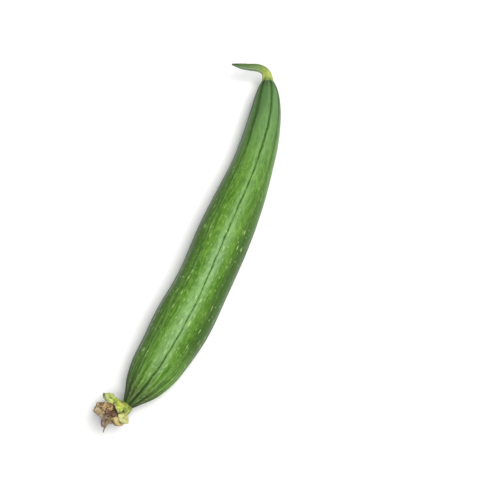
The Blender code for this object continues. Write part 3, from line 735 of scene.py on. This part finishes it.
def sepal_finish():
    """Leafy skin, green to yellow to tan by how dry it is, with pale veins, olive stains, bleached margins
    and tips; painted shade darkens its root and its folds, and painted highlights lie on its crests."""
    material, wire, shader = blank_material("calyx_leaf", 0.55, specular=0.35)
    leaf = attribute(wire, "leaf_place", "Vector")
    dry = attribute(wire, "leaf_dry")
    fold = attribute(wire, "leaf_fold")
    share = number_of(leaf, "X")
    across = number_of(leaf, "Y")
    place = wire.node("ShaderNodeTexCoord", {}, {}, "Object")
    clouds = grain(place, 260.0, 3.0)
    stains = grain(place, 340.0, 2.0)
    fine = grain(place, 1300.0, 3.0, 0.6)
    vein = wire.maths("SINE", across * (math.pi * 5.0) + (clouds - 0.5) * 7.0)
    margin = wire.maths("ABSOLUTE", across) + (fine - 0.5) * 0.5 + share * 0.30
    bleached = between(share + (clouds - 0.5) * 1.2, 0.45, 0.95)
    bleached = bleached * between(wire.maths("ABSOLUTE", dry - 0.72), 0.02, 0.10)
    colour = painted(ramp(dry + (clouds - 0.5) * 0.9 + (fine - 0.5) * 0.25, CALYX_RAMP), [
        (between(vein, 0.80, 1.0) * 0.30, SEPAL_VEIN),
        (between(vein, -0.5, -0.98) * 0.30, SEPAL_GROOVE),
        (between(fine, 0.54, 0.72) * 0.50, SEPAL_SPOTS),
        (between(stains, 0.53, 0.63) * 0.62, SEPAL_STAIN),
        (between(stains, 0.46, 0.36) * 0.50, SEPAL_YELLOW),
        (between(margin, 0.88, 1.20) * 0.65, SEPAL_MARGIN),
        (bleached * 0.60, SEPAL_BLEACHED),
        (between(share + (clouds - 0.5) * 0.8, 0.86, 1.08) * 0.60, SEPAL_TIP),
        # Painted shade at the root and in the folds, and painted highlights on the crests.
        (between(share, 0.34, 0.02) * 0.62, SEPAL_ROOT_SHADE),
        (between(fold, 0.1, -1.0) * 0.78, SEPAL_FOLD_SHADE),
        (between(fold, 0.6, 1.4) * 0.42, SEPAL_CREST_HIGHLIGHT)])
    dress(shader, colour, between(fine, 0.3, 0.7, 0.48, 0.66), vein * 0.5 + fine, 0.6, 0.00014)
    return material


calyx_leaf = sepal_finish()
rings, measures = collar_surface()
made_piece("calyx_collar", rings, measures, calyx_leaf, "calyx")
collar_centre, collar_tangents = collar_path(6)
collar_axis = collar_tangents[-1]
sepal_root = collar_centre[-1] - collar_axis * SEPAL_DEPTH
for number, (angle, *pose, length, width, dry) in enumerate(SEPALS):
    out = round_directions(-collar_axis[None, :], np.radians([[angle]]))[0, 0]
    rings, measures = tongue(sepal_root + out * SEPAL_CIRCLE, collar_axis, angle, pose[:2], pose[2:], length,
                             width, SEPAL_THICKNESS, cup=0.45, waves=0.10, pleats=2.0, pleat_depth=0.00018,
                             ragged=0.13, crumple=0.00065, narrowing=0.72, blunt=12, veins=5, dry=dry,
                             seed=40 + 5 * number)
    made_piece("calyx_sepal_%d" % (number + 1), rings, measures, calyx_leaf, "calyx")


# ----------------------------------------------------------------------------------------------------------
# Withered flower. The yellow flower stayed on the fruit and dried to brown paper: a knobbly core, petals that
# shrivelled round it with their veins standing up, and the tip of one petal drawn out into a dry spike.
# ----------------------------------------------------------------------------------------------------------
CORE_LENGTH = 0.0125
CORE_PROFILE = [(0.0, 0.0030), (0.25, 0.0042), (0.5, 0.0050), (0.75, 0.0042), (1.0, 0.0018)]
CORE_TURN = 10
CORE_ROWS = 90
CORE_COLUMNS = 150
# Heights as shares of the radius: the five lobes and the creases.
CORE_RELIEF = (0.09, 0.085)
CORE_CREASES = (0.0030, 0.0011)       # pitches of its large creases and of its small lumps
CORE_PLACE_RADIUS = 0.006
# Each petal: angle round the core, lean from its axis at root and tip, roll at root and tip, length, width,
# cup, and its tone: 0 purple-brown, 0.3 mauve, 0.5 beige, 0.75 orange, 1 yellow-tan.
PETALS = [(-76, 28, -22, 25, 45, 0.0172, 0.0170, 0.9, 0.50), (-44, 36, -16, 5, 16, 0.0104, 0.0092, 0.8, 0.74),
          (20, 40, -26, 0, -10, 0.0096, 0.0080, 0.9, 0.06), (84, 70, 54, -40, -50, 0.0080, 0.0142, 0.6, 0.96),
          (118, 36, -6, -30, -36, 0.0146, 0.0166, 0.8, 0.28)]
# The core is the darkest purple-brown: partly the dried flower's own colour, partly painted shade in its
# hollow.
CORE_TONE_AND_SHADE = 0.02
SPIKE_TONE = 0.46
PETAL_THICKNESS = 0.0010
PETAL_ROOT = 0.0042                   # how far out along the core the petals are rooted
PETAL_CIRCLE = 0.0030                 # radius of the circle that they grow from
SPIKE_LENGTH = 0.0150
SPIKE_HEADING = -4.0
SPIKE_RADIUS = 0.0014
SPIKE_CORNERS = 0.16                  # height of its three corners, as a share of its radius
SPIKE_TWIST = 7.0                     # radians that three times its angle turns along it
SPIKE_NARROWING = 0.80
SPIKE_WOBBLE = 0.00035
SPIKE_ROWS = 60
SPIKE_COLUMNS = 36

PETAL_RAMP = [(0.00, (0.105, 0.058, 0.040)), (0.14, (0.170, 0.105, 0.078)), (0.30, (0.330, 0.262, 0.215)),
              (0.50, (0.390, 0.305, 0.165)), (0.74, (0.500, 0.310, 0.135)), (0.96, (0.590, 0.490, 0.225))]
PETAL_RUST, PETAL_VEIN = (0.360, 0.200, 0.095), (0.150, 0.080, 0.040)
PAPER_PALE, PAPER_DARK = (0.620, 0.540, 0.370), (0.070, 0.040, 0.026)
# The edge colour is the petals' own; painted shade for the base and the folds, and a painted highlight for
# the crests.
PETAL_EDGE, PETAL_BASE_SHADE = (0.170, 0.110, 0.065), (0.050, 0.032, 0.018)
PETAL_FOLD_SHADE, PETAL_CREST_HIGHLIGHT = (0.045, 0.030, 0.012), (0.640, 0.530, 0.350)


def core_path(rows):
    """The core's centre line, from the collar outwards, with its tangents."""
    share = np.linspace(0.0, 1.0, rows)
    collar, outwards = collar_path(6)
    headings = TIP_HEADING + COLLAR_TURN + CORE_TURN * smooth(share / 0.6)
    return tip_path(collar[-1] + GAP * outwards[-1], headings, CORE_LENGTH)


def core_surface():
    """Rings along the core's path, five-lobed and slowly twisting, pinched into folds by creased lumps."""
    centre, tangents = core_path(CORE_ROWS)
    share = np.linspace(0.0, 1.0, CORE_ROWS)
    angles = ring_angles(CORE_ROWS, CORE_COLUMNS)
    lobes = np.sin(math.pi * share)[:, None] * np.cos(5 * angles + 4.0 * share[:, None])
    place = straightened(share * CORE_LENGTH, CORE_PLACE_RADIUS, angles)
    folds = 1.0 - 2.4 * np.abs(lumps(place * (0.6, 1.0, 1.0), CORE_CREASES[0], 71))
    folds = folds + 0.6 * lumps(place, CORE_CREASES[1], 72)
    folds = folds * np.sin(math.pi * np.clip(share * 1.05 + 0.05, 0.0, 1.0))[:, None]
    relief = CORE_RELIEF[0] * lobes + CORE_RELIEF[1] * folds
    radius = along(CORE_PROFILE, share)[:, None] * (1.0 + relief)
    rings = centre[:, None] + round_directions(-tangents, angles) * radius[..., None]
    leaf = np.stack(np.broadcast_arrays(share[:, None], np.sin(2.5 * angles), 0.3), axis=-1)
    # The core's tone is partly painted shade in the flower's hollow.
    return rings, {"leaf_place": leaf, "leaf_dry": np.full(angles.shape, CORE_TONE_AND_SHADE), "leaf_fold": folds}


def spike_surface():
    """Rings along a nearly straight path that narrow to a fifth, three-cornered and twisting."""
    centre, _ = core_path(9)
    share = np.linspace(0.0, 1.0, SPIKE_ROWS)
    centre, tangents = tip_path(centre[6], np.full(SPIKE_ROWS, SPIKE_HEADING), SPIKE_LENGTH)
    angles = ring_angles(SPIKE_ROWS, SPIKE_COLUMNS)
    corners = 1.0 + SPIKE_CORNERS * np.cos(3 * angles + SPIKE_TWIST * share[:, None])
    radius = SPIKE_RADIUS * (1.0 - SPIKE_NARROWING * share)[:, None] * corners
    wobble = SPIKE_WOBBLE * np.sin(9.0 * share) * share
    centre = centre + np.stack([np.zeros(SPIKE_ROWS), wobble, 0.6 * wobble], axis=-1)
    rings = centre[:, None] + round_directions(-tangents, angles) * radius[..., None]
    leaf = np.stack(np.broadcast_arrays(0.6 + 0.5 * share[:, None], np.cos(angles), 0.7), axis=-1)
    flat = np.zeros(angles.shape)
    return rings, {"leaf_place": leaf, "leaf_dry": flat + SPIKE_TONE, "leaf_fold": flat}


def petal_finish():
    """Dry papery skin, each petal of its own tone, with rust patches and brown veins; painted shade darkens
    its base and its folds, and painted highlights lie on its crests.
    """
    material, wire, shader = blank_material("dry_petal", 0.72, specular=0.25)
    leaf = attribute(wire, "leaf_place", "Vector")
    tone = attribute(wire, "leaf_dry")
    fold = attribute(wire, "leaf_fold")
    share = number_of(leaf, "X")
    place = wire.node("ShaderNodeTexCoord", {}, {}, "Object")
    clouds = grain(place, 230.0, 3.0)
    rust = grain(place, 420.0, 2.0)
    fine = grain(place, 1300.0, 4.0, 0.65)
    vein = number_of(leaf, "Y") * (math.pi * 7.0) + (clouds - 0.5) * 4.0 + number_of(leaf, "Z") * 9.0
    vein = wire.maths("SINE", vein)
    colour = painted(ramp(tone + (clouds - 0.5) * 0.55, PETAL_RAMP), [
        (between(rust, 0.47, 0.60) * between(tone, 0.40, 0.0, 0.25, 1.0) * 0.62, PETAL_RUST),
        (between(vein, 0.55, 0.98) * 0.34, PETAL_VEIN),
        (between(fine, 0.54, 0.72) * between(tone, 0.0, 0.3, 0.15, 0.45), PAPER_PALE),
        (between(fine, 0.45, 0.30) * 0.50, PAPER_DARK),
        (between(share + (fine - 0.5) * 0.6, 0.85, 1.05) * 0.45, PETAL_EDGE),
        # Painted shade at the base and in the folds, and painted highlights on the crests.
        (between(share, 0.34, 0.04) * 0.70, PETAL_BASE_SHADE),
        (between(fold, 0.25, -0.80) * 0.84, PETAL_FOLD_SHADE),
        (between(fold, 0.5, 1.4) * between(tone, 0.0, 0.3, 0.10, 0.45), PETAL_CREST_HIGHLIGHT)])
    dress(shader, colour, between(fine, 0.3, 0.7, 0.82, 0.62), vein * 0.6 + fine * 1.2, 0.8, 0.00022)
    return material


dry_petal = petal_finish()
rings, measures = core_surface()
made_piece("flower_core", rings, measures, dry_petal, "withered_flower")
core_centre, core_tangents = core_path(9)
core_axis = core_tangents[-1]
petal_root = core_centre[0] + core_tangents[0] * PETAL_ROOT
for number, (angle, *pose, length, width, cup, tone) in enumerate(PETALS):
    out = round_directions(-core_axis[None, :], np.radians([[angle]]))[0, 0]
    rings, measures = tongue(petal_root + out * PETAL_CIRCLE, core_axis, angle, pose[:2], pose[2:], length,
                             width, PETAL_THICKNESS, cup=cup, waves=0.16, pleats=3.0, pleat_depth=0.00070,
                             ragged=0.20, crumple=0.00125, narrowing=0.55, blunt=5, veins=7, dry=tone,
                             seed=80 + 5 * number, rows=90, columns=110)
    made_piece("flower_petal_%d" % (number + 1), rings, measures, dry_petal, "withered_flower")
rings, measures = spike_surface()
made_piece("flower_spike", rings, measures, dry_petal, "withered_flower")


# ----------------------------------------------------------------------------------------------------------
# Table, light and camera. The gourd lies on a plain near-white table under a broad soft lamp, with a weak
# lamp at its side and white walls round it that fill the shadows.
# ----------------------------------------------------------------------------------------------------------
TABLE_SIDE = 6.0
TABLE_DROP = 0.0002                   # how far the table's top lies below the belly
TABLE_WHITE, TABLE_HAZE = (0.88, 0.88, 0.88), (0.86, 0.86, 0.865)
# Each lamp: name, place, size, watts and colour.
LAMPS = [("overhead_lamp", (-0.05, -0.34, 1.10), (1.2, 0.55), 17.5, (1.0, 0.99, 0.97)),
         ("side_lamp", (0.70, -0.80, 0.70), (0.7, 0.7), 1.6, (1.0, 0.98, 0.95))]
LAMP_AIM = Vector((0.0, 0.0, 0.02))
ROOM_COLOUR = (0.93, 0.96, 1.0, 1.0)
ROOM_STRENGTH = 0.34
CAMERA_AZIMUTH = math.radians(-68.96)
CAMERA_ELEVATION = math.radians(70.0)
CAMERA_AIM = Vector(HOME) + Vector((0.14107, -0.03873, 0.02))
CAMERA_DISTANCE = 0.7414
CAMERA_LENS = 70.0                    # mm

bpy.ops.mesh.primitive_plane_add(size=TABLE_SIDE, location=(0.0, 0.0, -TABLE_DROP))
table = bpy.context.object
table.name = "table_top"
table_white, table_wire, table_shader = blank_material("table_white", 0.75)
haze = grain(table_wire.node("ShaderNodeTexCoord", {}, {}, "Object"), 3.0)
table_wire.tree.links.new(over(haze * 0.3, TABLE_WHITE, TABLE_HAZE).socket,
                          table_shader.inputs["Base Color"])
table.data.materials.append(table_white)

for name, place, size, watts, colour in LAMPS:
    light = bpy.data.lights.new(name, "AREA")
    light.shape = "RECTANGLE"
    light.size, light.size_y = size
    light.energy = watts
    light.color = colour
    lamp = bpy.data.objects.new(name, light)
    bpy.context.scene.collection.objects.link(lamp)
    lamp.location = place
    lamp.rotation_euler = (LAMP_AIM - Vector(place)).to_track_quat("-Z", "Y").to_euler()

world = bpy.data.worlds.new("white_room")
world.use_nodes = True
bpy.context.scene.world = world
world.node_tree.nodes["Background"].inputs["Color"].default_value = ROOM_COLOUR
world.node_tree.nodes["Background"].inputs["Strength"].default_value = ROOM_STRENGTH

back = Vector((math.sin(CAMERA_AZIMUTH) * math.cos(CAMERA_ELEVATION),
               -math.cos(CAMERA_AZIMUTH) * math.cos(CAMERA_ELEVATION), math.sin(CAMERA_ELEVATION)))
right = Vector((math.cos(CAMERA_AZIMUTH), math.sin(CAMERA_AZIMUTH), 0.0))
lens = bpy.data.cameras.new("camera")
lens.lens = CAMERA_LENS
camera = bpy.data.objects.new("camera", lens)
bpy.context.scene.collection.objects.link(camera)
camera.matrix_world = Matrix.Translation(CAMERA_AIM + back * CAMERA_DISTANCE) @ \
    Matrix((right, back.cross(right), back)).transposed().to_4x4()
bpy.context.scene.camera = camera
bpy.context.scene.view_settings.view_transform = "Standard"
